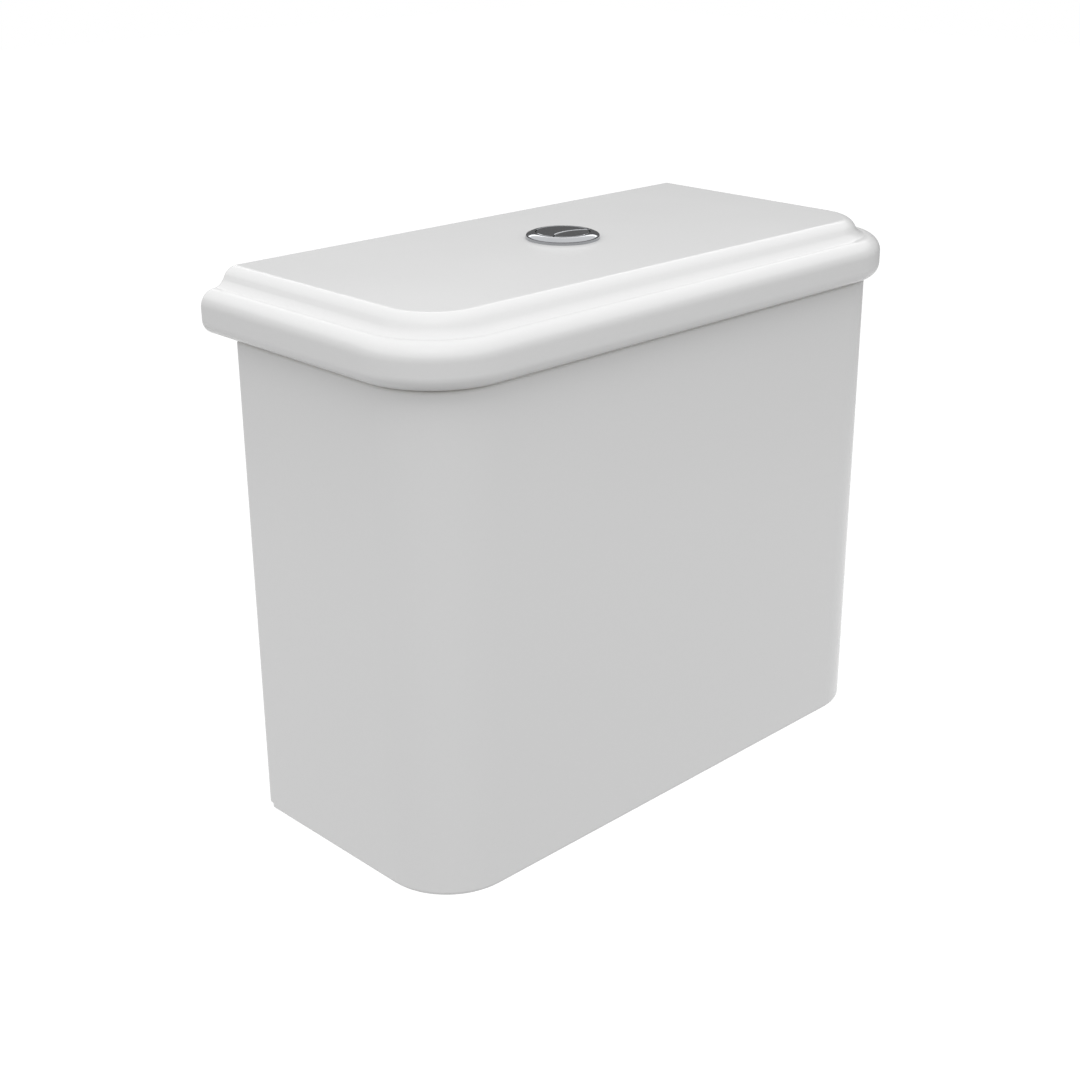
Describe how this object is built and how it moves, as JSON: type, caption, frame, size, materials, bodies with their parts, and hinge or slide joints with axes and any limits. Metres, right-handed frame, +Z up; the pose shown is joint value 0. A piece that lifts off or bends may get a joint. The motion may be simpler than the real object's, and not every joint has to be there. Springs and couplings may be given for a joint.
{
  "type": "toilet cistern",
  "caption": "White glazed close-coupled toilet cistern with a moulded lift-off lid, a twin chrome push button, a flush valve and a float fill valve.",
  "frame": {"origin": "on the flush valve's axis, at the level of the tank's underside", "axes": "+X to the right as seen from the front, +Y to the wall, +Z up"},
  "size_m": [0.43, 0.201, 0.4181],
  "materials": {
    "glazed_ceramic": "smooth white glaze",
    "chrome": "polished",
    "white_plastic": "moulded satin",
    "blue_plastic": "moulded satin",
    "rubber": "matte",
    "steel": "bright",
    "brass": "turned"
  },
  "bodies": {
    "cistern": {"tank": "glazed_ceramic", "valve_base": "white_plastic", "valve_back_nut": "white_plastic", "valve_tower": "white_plastic", "valve_head": "white_plastic", "fill_valve_body": "white_plastic", "fill_valve_nut": "white_plastic", "blanking_plug": "white_plastic", "plug_nut": "white_plastic", "inlet_filter": "blue_plastic", "fill_valve_cap": "blue_plastic", "lid_buffers": "rubber", "valve_washer": "rubber", "coupling_gasket": "rubber", "fill_valve_washer": "rubber", "fill_valve_diaphragm": "rubber", "plug_washer": "rubber", "bolt_cone_washers": "rubber", "bolt_under_seals": "rubber", "lever_pins": "steel", "arm_pin": "steel", "bolt_head_washers": "steel", "bolt_under_washers": "steel", "coupling_bolts": "brass", "bolt_nuts": "brass"},
    "lid": {"lid": "glazed_ceramic", "button_housing": "chrome", "housing_washer": "rubber", "housing_nut": "white_plastic", "full_button_spring": "steel", "half_button_spring": "steel"},
    "full_button": {"full_flush_button": "chrome", "full_flush_rod": "white_plastic"},
    "half_button": {"half_flush_button": "chrome", "half_flush_rod": "white_plastic"},
    "flush_tube": {"lift_tube": "white_plastic", "main_seal": "rubber", "seal_clamp": "blue_plastic", "full_flush_float": "blue_plastic", "half_flush_float": "blue_plastic", "lift_yoke": "blue_plastic"},
    "full_lever": {"full_flush_lever": "blue_plastic"},
    "half_lever": {"half_flush_lever": "blue_plastic"},
    "float": {"float_cup": "blue_plastic", "float_link": "white_plastic"},
    "arm": {"float_arm": "blue_plastic"}
  },
  "joints": [
    {"name": "lid_lift", "type": "slide", "parent": "cistern", "child": "lid", "axis": [0, 0, 1], "range_m": [0, 0.08]},
    {"name": "full_press", "type": "slide", "parent": "lid", "child": "full_button", "axis": [0, 0, -1], "range_m": [0, 0.009], "stiffness_N_per_m": 250, "springref_m": -0.012, "deforming": ["full_button_spring"]},
    {"name": "half_press", "type": "slide", "parent": "lid", "child": "half_button", "axis": [0, 0, -1], "range_m": [0, 0.009], "stiffness_N_per_m": 250, "springref_m": -0.012, "deforming": ["half_button_spring"]},
    {"name": "full_lever_turn", "type": "hinge", "parent": "cistern", "child": "full_lever", "pos_m": [-0.02, 0.008, 0.284], "axis": [0, 1, 0], "range_deg": [0, 27.6]},
    {"name": "half_lever_turn", "type": "hinge", "parent": "cistern", "child": "half_lever", "pos_m": [0.02, -0.0093, 0.284], "axis": [0, -1, 0], "range_deg": [0, 27.6]},
    {"name": "tube_lift", "type": "slide", "parent": "cistern", "child": "flush_tube", "axis": [0, 0, 1], "range_m": [0, 0.0135]},
    {"name": "float_rise", "type": "slide", "parent": "cistern", "child": "float", "axis": [0, 0, 1], "range_m": [0, 0.012]},
    {"name": "arm_turn", "type": "hinge", "parent": "cistern", "child": "arm", "pos_m": [-0.128, -0.015, 0.248], "axis": [0, -1, 0], "range_deg": [0, 24.8]}
  ],
  "couplings": [
    {"joint": "full_lever_turn", "follows": "full_press", "rad_per_m": 53.35},
    {"joint": "tube_lift", "follows": "full_press", "ratio": 1.5},
    {"joint": "half_lever_turn", "follows": "half_press", "rad_per_m": 53.35},
    {"joint": "arm_turn", "follows": "float_rise", "rad_per_m": 35.993}
  ]
}
